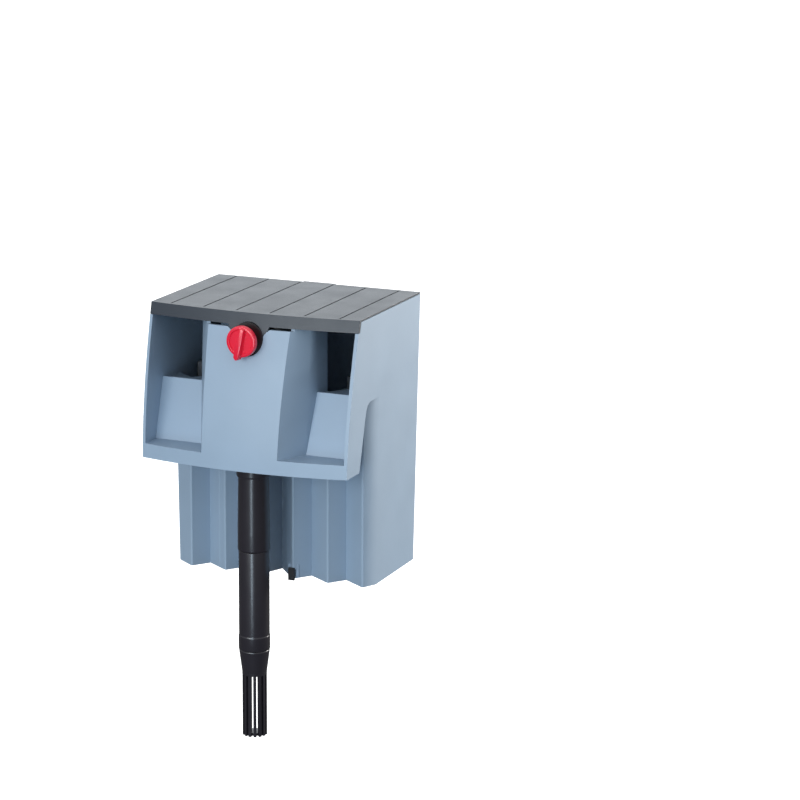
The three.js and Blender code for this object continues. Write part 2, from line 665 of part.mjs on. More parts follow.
// ---- pump --------------------------------------------------------------------------------------
const SCREW_AT = 18.2;
const FOOT_AT = 15;
const GLAND_Z = 40;
const CORNERS = [[-1, -1], [1, -1], [1, 1], [-1, 1]];
const corners = (reach) => CORNERS.map(([x, y]) => [x * reach, PUMP_Y + y * reach]);
const screwHoles = (z0, z1) => corners(SCREW_AT).map(([x, y]) => rod(1.65, x, y, z0, z1, 16));

function motor() {
  const outline = roundedRectangle(MOTOR_HALF, MOTOR_HALF, 4, 0, PUMP_Y);
  const body = prism(outline, "z", MOTOR_BOTTOM, MOTOR_TOP);
  const rear = PUMP_Y + MOTOR_HALF;
  const boss = rodAlongY(6, 0, GLAND_Z, rear - 1, rear + 3, 28);
  const glandHole = rodAlongY(4.2, 0, GLAND_Z, rear - 3, rear + 4, 28);
  const well = rod(ROTOR_R + 1, 0, PUMP_Y, 21, MOTOR_TOP + 1, 36);
  const bushSeat = rod(3, 0, PUMP_Y, 16, 22, 24);
  return cut(join(body, boss), glandHole, well, bushSeat, ...screwHoles(50, MOTOR_TOP + 1));
}

function gasket() {
  const frame = prism(roundedRectangle(21, 21, 3.4, 0, PUMP_Y), "z", MOTOR_TOP + GAP, COVER_BOTTOM - GAP);
  return cut(frame, rod(16.2, 0, PUMP_Y, 50, 70, 36), ...screwHoles(50, 70));
}

function pumpCover() {
  const flange = prism(roundedRectangle(MOTOR_HALF, MOTOR_HALF, 4, 0, PUMP_Y), "z", COVER_BOTTOM, 63);
  const dome = rod(17, 0, PUMP_Y, 61, COVER_TOP, 36, 15.5);
  const spigot = rod(DUCT_BORE - 0.4, 0, PUMP_Y, COVER_TOP - 1, 92, 28);
  const nozzle = rodAlongX(6, PUMP_Y + 7, 67, 8, 27);
  const shell = cut(
    join(flange, dome, spigot, nozzle),
    rod(14.6, 0, PUMP_Y, COVER_BOTTOM - 1, 72.5, 36),
    rod(5.6, 0, PUMP_Y, 70, 93, 28),
    rodAlongX(4.4, PUMP_Y + 7, 67, 5, 28),
    ...screwHoles(55, 64),
  );
  const spokes = [0, 120, 240].map((turn) =>
    box(0, 6.2, -0.8, 0.8, 74, 76.5).rotate([0, 0, turn]).translate([0, PUMP_Y, 0]),
  );
  const hub = rod(3.6, 0, PUMP_Y, 73.6, 77.4, 24);
  return cut(join(shell, hub, ...spokes), rod(2.6, 0, PUMP_Y, 73, 76.4, 24));
}

const sleeve = (bore, radius, z0, z1, sides = 20) =>
  turned([[bore, z0], [radius, z0], [radius, z1], [bore, z1]], 0, PUMP_Y, sides);

function impeller() {
  const hub = rod(3.8, 0, PUMP_Y, 57, 70.5, 24);
  const plate = rod(IMPELLER_R, 0, PUMP_Y, 60, 61.4, 36);
  const blades = [];
  for (let i = 0; i < BLADES; i++) {
    const blade = box(2.5, IMPELLER_R - 0.3, -0.7, 0.7, 61, 69.5);
    blades.push(blade.rotate([0, 0, (360 * i) / BLADES]).translate([0, PUMP_Y, 0]));
  }
  return cut(join(hub, plate, ...blades), rod(1.6, 0, PUMP_Y, 50, 75, 20));
}

function coverScrew(x, y) {
  const body = join(rod(1.3, x, y, 51, 64, 14), rod(2.6, x, y, 63 + GAP, 65.2, 18, 2.2));
  return cut(body, box(x - 3, x + 3, y - 0.35, y + 0.35, 64.4, 66));
}

const pumpFoot = (x, y) => rod(4.5, x, y, WALL + 0.3, MOTOR_BOTTOM - 0.3, 24, 3.8);

function gland() {
  const y = PUMP_Y + MOTOR_HALF;
  const plug = rodAlongY(3.9, 0, GLAND_Z, y - 2.6, y + 4, 24);
  const collarRing = rodAlongY(5.6, 0, GLAND_Z, y + 3.35, y + 6, 24);
  const sheath = rodAlongY(4.3, 0, GLAND_Z, y + 5.5, y + 13, 24);
  return cut(join(plug, collarRing, sheath), rodAlongY(2.6, 0, GLAND_Z, y - 5, y + 15, 20));
}

// ---- cartridges and spacers --------------------------------------------------------------------
function cartridgeFrame() {
  const { x0, x1, y0, y1, z0, z1 } = CARTRIDGE;
  const body = box(x0, x1, y0, y1, z0, z1);
  const inside = box(x0 + 2, x1 - 2, y0 + 1.8, y1 - 1.8, z0 + 2, z1 - 5);
  const [columns, rows] = [2, 6];
  const [wide, high] = [(x1 - x0 - 8) / columns, (z1 - z0 - 14) / rows];
  const windows = [];
  for (let i = 0; i < columns; i++) {
    for (let j = 0; j < rows; j++) {
      const [x, z] = [x0 + 4 + i * wide, z0 + 5 + j * high];
      windows.push(box(x + 0.9, x + wide - 0.9, y0 - 1, y1 + 1, z + 1.1, z + high - 1.1));
    }
  }
  const middle = (x0 + x1) / 2;
  const loop = box(middle - 11, middle + 11, y0 + 7, y0 + 11, z1 - 1, z1 + 17);
  const finger = box(middle - 7.5, middle + 7.5, y0 + 5, y0 + 13, z1 + 1.5, z1 + 13);
  return join(cut(body, inside, ...windows), loop.subtract(finger));
}

function cartridgePad(front, back) {
  const { x0, x1, z0, z1 } = CARTRIDGE;
  return box(x0 + 2.4, x1 - 2.4, front, back, z0 + 2.4, z1 - 5.4);
}

function glassSpacer() {
  const pad = box(SPACER_X - 2.6, SPACER_X + 2.6, 25.6, 27.7, -1, 9.2);
  return join(pad, box(SPACER_X - 2.25, SPACER_X + 2.25, 27, 44, 2, 7.2));
}

// ---- assembly ----------------------------------------------------------------------------------
const group = new THREE.Group();
// The row's origin is the middle of the face that rests on the glass rim.
group.position.set(0, -RIM_Y, -RIM_Z);

function add(name, shape, finish) {
  const mesh = shape.getMesh();
  const geometry = new THREE.BufferGeometry();
  geometry.setAttribute("position", new THREE.BufferAttribute(mesh.vertProperties, 3));
  geometry.setIndex(new THREE.BufferAttribute(mesh.triVerts, 1));
  const node = new THREE.Mesh(geometry, finish);
  node.name = name;
  group.add(node);
}

add("filter_housing", housing(), greyShell);
add("lid", lid(), darkLid);
add("flow_knob", knob(), redKnob);
add("flow_valve", valve(), blackPart);
add("spindle_seal", spindleRing(), rubber);
add("siphon_duct", duct(), blackPart);
add("duct_seal", ring(0, PUMP_Y, 78.6, 8.2, 0.9), rubber);
add("tube_collar", collar(), blackTube);
add("riser_tube", riserTube(), blackTube);
add("extension_tube", extensionTube(), blackTube);
add("extension_seal", ring(0, TUBE_Y, SEAL_Z, SPIGOT_R - 0.2, 0.45), rubber);
add("intake_strainer", strainer(), blackTube);
add("pump_motor", motor(), blackPart);
add("pump_gasket", gasket(), rubber);
add("pump_cover", pumpCover(), greyPart);
corners(SCREW_AT).forEach(([x, y], i) => add(`cover_screw_${i + 1}`, coverScrew(x, y), steel));
corners(FOOT_AT).forEach(([x, y], i) => add(`pump_foot_${i + 1}`, pumpFoot(x, y), rubber));
add("pump_shaft", rod(1.2, 0, PUMP_Y, 17, 76, 18), ceramic);
add("lower_bush", sleeve(1.5, 2.7, 16.3, 20.6), rubber);
add("upper_bush", sleeve(1.5, 2.3, 73.9, 76.1), rubber);
add("impeller", impeller(), greyPart);
add("rotor_magnet", sleeve(1.6, ROTOR_R, 22.5, 56.6, 32), magnet);
add("cord_gland", gland(), rubber);
for (const [side, place] of [["right", (shape) => shape], ["left", mirrored]]) {
  add(`cartridge_frame_${side}`, place(cartridgeFrame()), greyPart);
  add(`foam_pad_${side}`, place(cartridgePad(68.2, 75.2)), blueFoam);
  add(`carbon_pad_${side}`, place(cartridgePad(75.6, 81.8)), carbonPad);
  add(`glass_spacer_${side}`, place(glassSpacer()), blackPart);
}

export default group;
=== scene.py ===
"""Looks for a hang-on aquarium filter.

Grey moulded tank and hood, dark lid, red knob, black intake tube and foam cartridges.
"""

import json
import math

import bmesh
import bpy
from mathutils import Matrix, Vector, noise

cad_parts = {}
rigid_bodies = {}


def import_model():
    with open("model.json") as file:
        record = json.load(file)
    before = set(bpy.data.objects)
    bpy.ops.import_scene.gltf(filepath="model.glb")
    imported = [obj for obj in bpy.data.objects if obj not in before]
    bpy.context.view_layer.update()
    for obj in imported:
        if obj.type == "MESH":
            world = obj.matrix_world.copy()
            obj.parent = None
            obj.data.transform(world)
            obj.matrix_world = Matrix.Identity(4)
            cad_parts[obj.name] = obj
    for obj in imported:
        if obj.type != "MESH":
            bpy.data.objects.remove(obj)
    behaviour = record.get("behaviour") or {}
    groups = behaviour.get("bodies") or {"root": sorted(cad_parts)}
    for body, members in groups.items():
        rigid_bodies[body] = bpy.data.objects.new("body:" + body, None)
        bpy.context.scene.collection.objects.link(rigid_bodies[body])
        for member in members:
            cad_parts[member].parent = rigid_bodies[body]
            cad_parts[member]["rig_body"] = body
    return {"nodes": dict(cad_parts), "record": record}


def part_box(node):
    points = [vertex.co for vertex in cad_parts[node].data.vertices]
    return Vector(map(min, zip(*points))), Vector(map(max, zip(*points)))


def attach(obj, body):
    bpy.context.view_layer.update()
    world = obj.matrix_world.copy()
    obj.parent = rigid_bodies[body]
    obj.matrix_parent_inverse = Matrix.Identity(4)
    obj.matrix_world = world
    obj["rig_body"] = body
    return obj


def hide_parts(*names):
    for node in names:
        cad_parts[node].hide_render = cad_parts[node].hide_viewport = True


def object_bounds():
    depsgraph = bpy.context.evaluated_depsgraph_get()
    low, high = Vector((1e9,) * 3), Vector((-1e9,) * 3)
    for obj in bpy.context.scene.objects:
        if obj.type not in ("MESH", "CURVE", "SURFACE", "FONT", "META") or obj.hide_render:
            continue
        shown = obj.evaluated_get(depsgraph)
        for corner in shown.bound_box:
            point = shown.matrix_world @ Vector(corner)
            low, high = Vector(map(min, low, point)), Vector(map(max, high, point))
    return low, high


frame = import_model()
cad_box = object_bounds()
nodes = frame["nodes"]
MM = 0.001

WELD_DISTANCE = 0.01 * MM
FLAT_ANGLE = math.radians(0.4)
MERGE_DISTANCE = 1e-6
SHARP_ANGLE = math.radians(40)
TUBE_GAP = 0.35 * MM


# ---- shader helpers ------------------------------------------------------------------------------
class Graph:
    """A material's node tree, with short calls for the nodes that the looks need."""

    def __init__(self, name):
        self.material = bpy.data.materials.new(name)
        self.material.use_nodes = True
        self.tree = self.material.node_tree
        self.shader = self.tree.nodes["Principled BSDF"]
        self.place = self.tree.nodes.new("ShaderNodeTexCoord").outputs["Object"]

    def link(self, source, target):
        self.tree.links.new(source, target)

    def set(self, **values):
        for name, value in values.items():
            self.shader.inputs[name.replace("_", " ")].default_value = value

    def stretched(self, x, y, z):
        """Object coordinates scaled by a different amount along each axis."""
        mapping = self.tree.nodes.new("ShaderNodeMapping")
        mapping.inputs["Scale"].default_value = (x, y, z)
        self.link(self.place, mapping.inputs["Vector"])
        return mapping.outputs["Vector"]

    def noise(self, scale, detail=3.0, roughness=0.5, place=None):
        """Noise in 0..1; scale is in cells per metre."""
        node = self.tree.nodes.new("ShaderNodeTexNoise")
        node.inputs["Scale"].default_value = scale
        node.inputs["Detail"].default_value = detail
        node.inputs["Roughness"].default_value = roughness
        self.link(place or self.place, node.inputs["Vector"])
        return node.outputs["Fac"]

    def cells(self, scale, randomness=1.0):
        """Distance to the nearest cell centre; scale is in cells per metre."""
        node = self.tree.nodes.new("ShaderNodeTexVoronoi")
        node.inputs["Scale"].default_value = scale
        node.inputs["Randomness"].default_value = randomness
        self.link(self.place, node.inputs["Vector"])
        return node.outputs["Distance"]

    def mapped(self, value, low, high, to_low, to_high):
        node = self.tree.nodes.new("ShaderNodeMapRange")
        for name, number in zip(("From Min", "From Max", "To Min", "To Max"), (low, high, to_low, to_high)):
            node.inputs[name].default_value = number
        self.link(value, node.inputs["Value"])
        return node.outputs["Result"]

    def math(self, operation, a, b):
        node = self.tree.nodes.new("ShaderNodeMath")
        node.operation = operation
        for socket, value in zip(node.inputs, (a, b)):
            if isinstance(value, (int, float)):
                socket.default_value = value
            else:
                self.link(value, socket)
        return node.outputs["Value"]

    def ramp(self, value, *stops):
        """Colours along a value, as (position, colour) stops."""
        node = self.tree.nodes.new("ShaderNodeValToRGB")
        elements = node.color_ramp.elements
        while len(elements) < len(stops):
            elements.new(0.5)
        for element, (position, color) in zip(elements, stops):
            element.position = position
            element.color = (*color, 1)
        self.link(value, node.inputs["Fac"])
        return node.outputs["Color"]

    def mixed(self, factor, a, b, blend="MIX"):
        node = self.tree.nodes.new("ShaderNodeMix")
        node.data_type = "RGBA"
        node.blend_type = blend
        for socket, value in zip((node.inputs[0], node.inputs[6], node.inputs[7]), (factor, a, b)):
            if isinstance(value, (int, float)):
                socket.default_value = value
            elif isinstance(value, tuple):
                socket.default_value = (*value, 1)
            else:
                self.link(value, socket)
        return node.outputs[2]

    def bumped(self, height, depth, strength=1.0):
        """Adds a bump of this depth in metres on top of the bumps added before."""
        node = self.tree.nodes.new("ShaderNodeBump")
        node.inputs["Strength"].default_value = strength
        node.inputs["Distance"].default_value = depth
        self.link(height, node.inputs["Height"])
        normal = self.shader.inputs["Normal"]
        if normal.is_linked:
            self.link(normal.links[0].from_socket, node.inputs["Normal"])
        self.link(node.outputs["Normal"], normal)


def shade(color, factor):
    return tuple(min(1.0, c * factor) for c in color)


def moulded(name, color, roughness, mottle=0.05, grain=0.03, scratches=0.06, tint=None):
    """Injection-moulded plastic: cloudy colour, spark-eroded grain, flow marks and faint scratches."""
    g = Graph(name)
    clouds = g.noise(26, detail=4)
    base = g.ramp(clouds, (0.3, shade(color, 1 - mottle)), (0.7, shade(color, 1 + mottle)))
    flow = g.noise(14, detail=2, place=g.stretched(1, 1, 0.35))
    base = g.mixed(g.mapped(flow, 0.4, 0.75, 0, 0.35), base, tint or shade(color, 1.12))
    specks = g.noise(1900, detail=1)
    base = g.mixed(g.mapped(specks, 0.62, 0.8, 0, 0.25), base, shade(color, 0.8))
    hairlines = g.noise(1, detail=5, roughness=0.7, place=g.stretched(90, 90, 1400))
    marks = g.mapped(hairlines, 0.66, 0.74, 0, 1)
    base = g.mixed(g.math("MULTIPLY", marks, scratches), base, shade(color, 1.5))
    g.link(base, g.shader.inputs["Base Color"])
    cloud_roughness = g.mapped(g.noise(48, detail=3), 0.3, 0.7, roughness - 0.025, roughness + 0.025)
    g.link(g.math("ADD", cloud_roughness, g.math("MULTIPLY", marks, 0.08)), g.shader.inputs["Roughness"])
    g.bumped(g.noise(2600, detail=2), grain * MM)
    g.bumped(g.noise(160, detail=2), 0.02 * MM, 0.3)
    return g


# ---- materials -----------------------------------------------------------------------------------
def housing_grey():
    g = moulded("housing_grey", (0.29, 0.385, 0.5), 0.42, mottle=0.03, tint=(0.3, 0.392, 0.5))
    return g.material


def lid_dark():
    g = moulded("lid_dark", (0.026, 0.035, 0.05), 0.36, mottle=0.03, grain=0.04)
    return g.material


def knob_red():
    g = moulded("knob_red", (0.8, 0.012, 0.045), 0.26, mottle=0.06, grain=0.012, tint=(0.85, 0.03, 0.06))
    g.set(Coat_Weight=0.3, Coat_Roughness=0.12, Subsurface_Weight=0.06)
    g.shader.inputs["Subsurface Radius"].default_value = (0.002, 0.0006, 0.0004)
    return g.material


def tube_black():
    g = moulded("tube_black", (0.017, 0.015, 0.021), 0.3, mottle=0.12, grain=0.012, scratches=0.03)
    g.set(Coat_Weight=0.25, Coat_Roughness=0.18)
    return g.material


def black_plastic():
    return moulded("black_plastic", (0.016, 0.016, 0.018), 0.46, mottle=0.15, grain=0.05).material


def grey_plastic():
    return moulded("grey_plastic", (0.16, 0.18, 0.21), 0.46, mottle=0.07, grain=0.05).material


def rubber():
    g = Graph("rubber")
    bloom = g.noise(90, detail=5)
    base = g.ramp(bloom, (0.35, (0.009, 0.009, 0.009)), (0.75, (0.03, 0.03, 0.031)))
    g.link(base, g.shader.inputs["Base Color"])
    g.link(g.mapped(g.noise(300), 0.3, 0.7, 0.62, 0.85), g.shader.inputs["Roughness"])
    g.bumped(g.noise(3200, detail=3), 0.06 * MM)
    return g.material


def steel():
    g = Graph("steel")
    g.set(Metallic=1.0)
    lathe_marks = g.noise(1, detail=3, place=g.stretched(900, 900, 6000))
    base = g.ramp(lathe_marks, (0.3, (0.46, 0.47, 0.49)), (0.7, (0.64, 0.65, 0.66)))
    g.link(base, g.shader.inputs["Base Color"])
    g.link(g.mapped(lathe_marks, 0.3, 0.7, 0.2, 0.38), g.shader.inputs["Roughness"])
    g.bumped(lathe_marks, 0.02 * MM)
    return g.material


def ceramic():
    g = Graph("ceramic")
    base = g.ramp(g.noise(700, detail=4), (0.35, (0.7, 0.68, 0.63)), (0.7, (0.84, 0.82, 0.78)))
    g.link(base, g.shader.inputs["Base Color"])
    g.link(g.mapped(g.noise(400), 0.3, 0.7, 0.3, 0.5), g.shader.inputs["Roughness"])
    g.bumped(g.noise(5000, detail=2), 0.02 * MM)
    return g.material


def magnet():
    g = Graph("magnet")
    base = g.ramp(g.noise(1500, detail=4), (0.3, (0.028, 0.028, 0.03)), (0.72, (0.085, 0.083, 0.082)))
    g.link(base, g.shader.inputs["Base Color"])
    g.set(Metallic=0.4)
    g.link(g.mapped(g.noise(800), 0.3, 0.7, 0.45, 0.7), g.shader.inputs["Roughness"])
    g.bumped(g.noise(4000, detail=3), 0.05 * MM)
    return g.material


def porous(name, wall, pore_shade, pores_per_metre, depth):
    """Open foam or fleece: rounded pores with painted shade inside them, with a few larger ones."""
    g = Graph(name)
    fine = g.cells(pores_per_metre)
    coarse = g.cells(pores_per_metre * 0.43)
    pore = g.mapped(fine, 0.12, 0.5, 0, 1)
    # painted shade: dark in the middle of each pore, the foam's own colour between pores, lighter at the cell
    # edges
    base = g.ramp(pore, (0.0, pore_shade), (0.55, wall), (1.0, shade(wall, 1.25)))
    # painted shade filling a few larger pores
    base = g.mixed(g.mapped(coarse, 0.1, 0.3, 0.5, 0), base, pore_shade)
    fading = g.mapped(g.noise(22, detail=3), 0.35, 0.7, 0, 0.3)
    base = g.mixed(fading, base, shade(wall, 1.5))
    g.link(base, g.shader.inputs["Base Color"])
    g.set(Roughness=0.95, Sheen_Weight=0.25, Sheen_Roughness=0.5)
    g.bumped(pore, depth)
    g.bumped(g.mapped(coarse, 0.05, 0.4, 0, 1), depth * 1.5, 0.7)
    return g.material


def foam_blue():
    # the third colour is the painted shade inside the pores
    return porous("foam_blue", (0.035, 0.13, 0.36), (0.006, 0.02, 0.075), 900, 0.5 * MM)


def carbon_fleece():
    # the third colour is the painted shade inside the pores
    return porous("carbon_fleece", (0.035, 0.036, 0.04), (0.006, 0.006, 0.007), 1300, 0.35 * MM)


LOOKS = {
    make.__name__: make()
    for make in (
        housing_grey,
        lid_dark,
        knob_red,
        tube_black,
        black_plastic,
        grey_plastic,
        rubber,
        steel,
        ceramic,
        magnet,
        foam_blue,
        carbon_fleece,
    )
}
SLOTS = {part["node"]: part["material_slot"] for part in frame["record"]["subparts"]}


# ---- CAD nodes that stay ---------------------------------------------------------------------------
def dress(name, bevel=0.5, segments=2, angle=28, flatten=True):
    """Gives a CAD node its material, soft moulded edges and smooth shading, without touching its vertices."""
    node = nodes[name]
    node.data.materials.clear()
    node.data.materials.append(LOOKS[SLOTS[name]])
    for polygon in node.data.polygons:
        polygon.use_smooth = True
    weld = node.modifiers.new("weld", "WELD")
    weld.merge_threshold = WELD_DISTANCE
    if flatten:
        flat = node.modifiers.new("flat faces", "DECIMATE")
        flat.decimate_type = "DISSOLVE"
        flat.angle_limit = FLAT_ANGLE
    soft = node.modifiers.new("moulded edges", "BEVEL")
    soft.width = bevel * MM
    soft.segments = segments
    soft.limit_method = "ANGLE"
    soft.angle_limit = math.radians(angle)
    soft.harden_normals = False
    soft.miter_outer = "MITER_ARC"
    shading = node.modifiers.new("shading", "WEIGHTED_NORMAL")
    shading.keep_sharp = False
    shading.weight = 90


# ---- mesh helpers ----------------------------------------------------------------------------------
def finished(name, mesh, *cad_nodes):
    """Turns a bmesh into a piece that stands for CAD nodes and rides on their body."""
    bmesh.ops.remove_doubles(mesh, verts=mesh.verts, dist=MERGE_DISTANCE)
    bmesh.ops.recalc_face_normals(mesh, faces=mesh.faces)
    data = bpy.data.meshes.new(name)
    mesh.to_mesh(data)
    mesh.free()
    data.polygons.foreach_set("use_smooth", [True] * len(data.polygons))
    data.set_sharp_from_angle(angle=SHARP_ANGLE)
    piece = bpy.data.objects.new(name, data)
    bpy.context.scene.collection.objects.link(piece)
    slot = SLOTS[cad_nodes[0]]
    data.materials.append(LOOKS[slot])
    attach(piece, nodes[cad_nodes[0]]["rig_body"])
    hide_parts(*cad_nodes)
    return piece


def rounded(points, radius, steps=4):
    """The closed outline of (a, b) points with rounded corners.

    A third number in a point is that corner's own radius.
    """
    out = []
    count = len(points)
    for i, corner in enumerate(points):
        here = Vector(corner[:2])
        before = Vector(points[i - 1][:2])
        after = Vector(points[(i + 1) % count][:2])
        r = corner[2] if len(corner) > 2 else radius
        back, ahead = (before - here), (after - here)
        reach = min(r, back.length * 0.45, ahead.length * 0.45)
        if reach < 1e-6:
            out.append(here)
            continue
        start, end = here + back.normalized() * reach, here + ahead.normalized() * reach
        for k in range(steps + 1):
            t = k / steps
            out.append(start * (1 - t) ** 2 + here * 2 * t * (1 - t) + end * t**2)
    return out


def turned(mesh, profile, centre, sides=96, axis="Z"):
    """A closed (radius, height) profile turned about a vertical axis, or one that runs front to back."""
    rings = []
    for i in range(sides):
        a = 2 * math.pi * i / sides
        ring = []
        for r, h in profile:
            across, up = r * math.cos(a), r * math.sin(a)
            spot = Vector((across, up, h)) if axis == "Z" else Vector((across, h, up))
            ring.append(mesh.verts.new(centre + spot))
        rings.append(ring)
    for i, ring in enumerate(rings):
        following = rings[(i + 1) % sides]
        for k in range(len(profile)):
            n = (k + 1) % len(profile)
            corners = [ring[k], following[k], following[n], ring[n]]
            if profile[k][0] < 1e-9 and profile[n][0] < 1e-9:
                continue
            mesh.faces.new(corners)


def stacked(mesh, layers):
    """Joins closed outlines of the same number of points, one above the other, and closes both ends."""
    rows = [[mesh.verts.new(p) for p in layer] for layer in layers]
    count = len(rows[0])
    for low, high in zip(rows, rows[1:]):
        for i in range(count):
            n = (i + 1) % count
            mesh.faces.new((low[i], low[n], high[n], high[i]))
    mesh.faces.new(rows[0])
    mesh.faces.new(rows[-1])


def centre_of(name):
    low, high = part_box(name)
    return (low + high) / 2


def radius_of(name):
    low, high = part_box(name)
    return (high.x - low.x) / 2


# ---- intake tube -----------------------------------------------------------------------------------
def tube_axis():
    middle = centre_of("riser_tube")
    return Vector((middle.x, middle.y, 0))


def tube_collar():
    low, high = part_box("tube_collar")
    flange = radius_of("tube_collar")
    outer = flange - 0.6 * MM
    bore = outer - 1.0 * MM
    step = high.z - 2.05 * MM
    profile = [
        (bore, low.z),
        (outer - 0.3 * MM, low.z),
        (outer, low.z + 1.2 * MM),
        (outer, step),
        (flange, step),
        (flange, high.z),
        (bore, high.z),
    ]
    mesh = bmesh.new()
    turned(mesh, rounded(profile, 0.35 * MM), tube_axis())
    finished("tube_collar_ring", mesh, "tube_collar")


def riser_tube():
    low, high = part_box("riser_tube")
    wide = radius_of("riser_tube")
    collar_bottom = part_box("tube_collar")[0].z
    slim, bore = wide - 0.65 * MM, wide - 2.55 * MM
    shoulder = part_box("tube_collar")[1].z + 1 * MM
    neck = wide - 1.35 * MM
    profile = [
        (bore, low.z),
        (wide - 0.3 * MM, low.z),
        (wide, low.z + 0.8 * MM),
        (wide, low.z + 14 * MM),
        (slim, collar_bottom),
        (slim, shoulder),
        (neck, shoulder + 0.5 * MM),
        (neck, high.z),
        (bore, high.z),
    ]
    mesh = bmesh.new()
    turned(mesh, rounded(profile, 0.4 * MM), tube_axis())
    finished("riser_tube_shell", mesh, "riser_tube")


def extension_tube():
    low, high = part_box("extension_tube")
    wide = radius_of("extension_tube")
    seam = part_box("riser_tube")[0].z - TUBE_GAP
    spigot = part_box("extension_seal")[1].x - 0.25 * MM
    bore = wide - 4 * MM
    seal = centre_of("extension_seal").z
    slim = wide - 0.3 * MM
    socket = wide - 2.5 * MM
    profile = [
        (bore, high.z),
        (spigot, high.z),
        (spigot, seal + 1 * MM),
        (spigot - 0.75 * MM, seal + 1 * MM),
        (spigot - 0.75 * MM, seal - 1 * MM),
        (spigot, seal - 1 * MM),
        (spigot, seam),
        (slim, seam),
        (slim, low.z + 12 * MM),
        (wide, low.z + 11 * MM),
        (wide, low.z),
        (socket, low.z),
        (socket, low.z + 29.5 * MM),
        (bore, low.z + 31.5 * MM),
    ]
    mesh = bmesh.new()
    turned(mesh, rounded(profile, 0.35 * MM, 3), tube_axis())
    finished("extension_tube_shell", mesh, "extension_tube")


STRAINER_SLOTS = 14
SLOT_HALF = 0.95 * MM


def strainer_bar(mesh, middle, angle, inner, outer, z0, z1):
    """One bar between two slots: part of the round wall, with rounded long edges."""
    half_gap = math.pi / STRAINER_SLOTS
    corners = []
    for radius, sign in ((inner, -1), (outer, -1), (outer, 1), (inner, 1)):
        reach = half_gap - SLOT_HALF / radius
        corners.append((radius * math.cos(sign * reach), radius * math.sin(sign * reach)))
    outline = rounded(corners, 0.3 * MM, 3)
    turn = Matrix.Rotation(angle, 3, "Z")
    stacked(mesh, [[middle + turn @ Vector((p.x, p.y, z)) for p in outline] for z in (z0, z1)])


def intake_strainer():
    low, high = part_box("intake_strainer")
    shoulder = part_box("extension_tube")[0].z - TUBE_GAP
    slots_top = shoulder - 21.15 * MM
    wide = radius_of("intake_strainer")
    shank = wide - 2.5 * MM
    barrel = wide - 2.3 * MM
    bore = wide - 4.1 * MM
    fin_inner = wide - 6.8 * MM
    plate_radius = fin_inner + 1 * MM
    axis = tube_axis()
    sleeve = [
        (bore, high.z),
        (shank, high.z),
        (shank, shoulder),
        (wide - 0.3 * MM, shoulder),
        (wide, shoulder - 1 * MM),
        (barrel, slots_top + 2.4 * MM),
        (barrel, slots_top),
        (bore, slots_top),
    ]
    mesh = bmesh.new()
    turned(mesh, rounded(sleeve, 0.4 * MM), axis)
    for i in range(STRAINER_SLOTS):
        angle = 2 * math.pi * (i + 0.5) / STRAINER_SLOTS
        strainer_bar(mesh, axis, angle, fin_inner, barrel, low.z, slots_top + 0.4 * MM)
    plate_top = low.z + 2.2 * MM
    plate = [(0, low.z), (plate_radius, low.z), (plate_radius, plate_top), (0, plate_top)]
    turned(mesh, plate, axis)
    finished("strainer_basket", mesh, "intake_strainer")


# ---- knob ------------------------------------------------------------------------------------------
KNOB_TURN = math.radians(13)


def flow_knob():
    low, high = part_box("flow_knob")
    radius = radius_of("flow_knob")
    centre = Vector((0, 0, high.z - radius))
    tip = low.y
    face = tip + 3.6 * MM
    back = high.y
    disc_back = face + 4 * MM
    disc = [
        (0, face + 0.5 * MM),
        (radius - 3.2 * MM, face + 0.5 * MM, 0),
        (radius - 2.6 * MM, face - 0.4 * MM, 0.4 * MM),
        (radius - 0.2 * MM, face - 0.2 * MM, 1.4 * MM),
        (radius, disc_back, 0.5 * MM),
        (6.4 * MM, disc_back, 0.6 * MM),
        (6.4 * MM, back, 0.3 * MM),
        (0, back),
    ]
    mesh = bmesh.new()
    turned(mesh, rounded(disc, 0, 5), centre, sides=128, axis="Y")
    grip = [
        (1.9, 11.2, 1.2),
        (2.7, -9.5, 3),
        (2.3, -13.4, 1),
        (0, -15.6, 1.2),
        (-2.3, -13.4, 1),
        (-2.7, -9.5, 3),
        (-1.9, 11.2, 1.2),
    ]
    outline = rounded([(x * MM, z * MM, r * MM) for x, z, r in grip], 0, 5)
    middle = Vector((0, -2 * MM))
    layers = []
    sections = (
        (1.35, face + 0.6 * MM),
        (1.16, face + 0.1 * MM),
        (1.04, face - 0.9 * MM),
        (0.98, face - 2.2 * MM),
        (0.9, tip + 0.4 * MM),
        (0.7, tip),
    )
    for grow, y in sections:
        layer = []
        for p in outline:
            along = min(1.0, 0.5 + grow / 2)
            spot = Vector((p.x * grow, 0, middle.y + (p.y - middle.y) * along))
            layer.append(centre + Matrix.Rotation(KNOB_TURN, 3, "Y") @ spot + Vector((0, y, 0)))
        layers.append(layer)
    stacked(mesh, layers)
    finished("flow_knob_grip", mesh, "flow_knob")


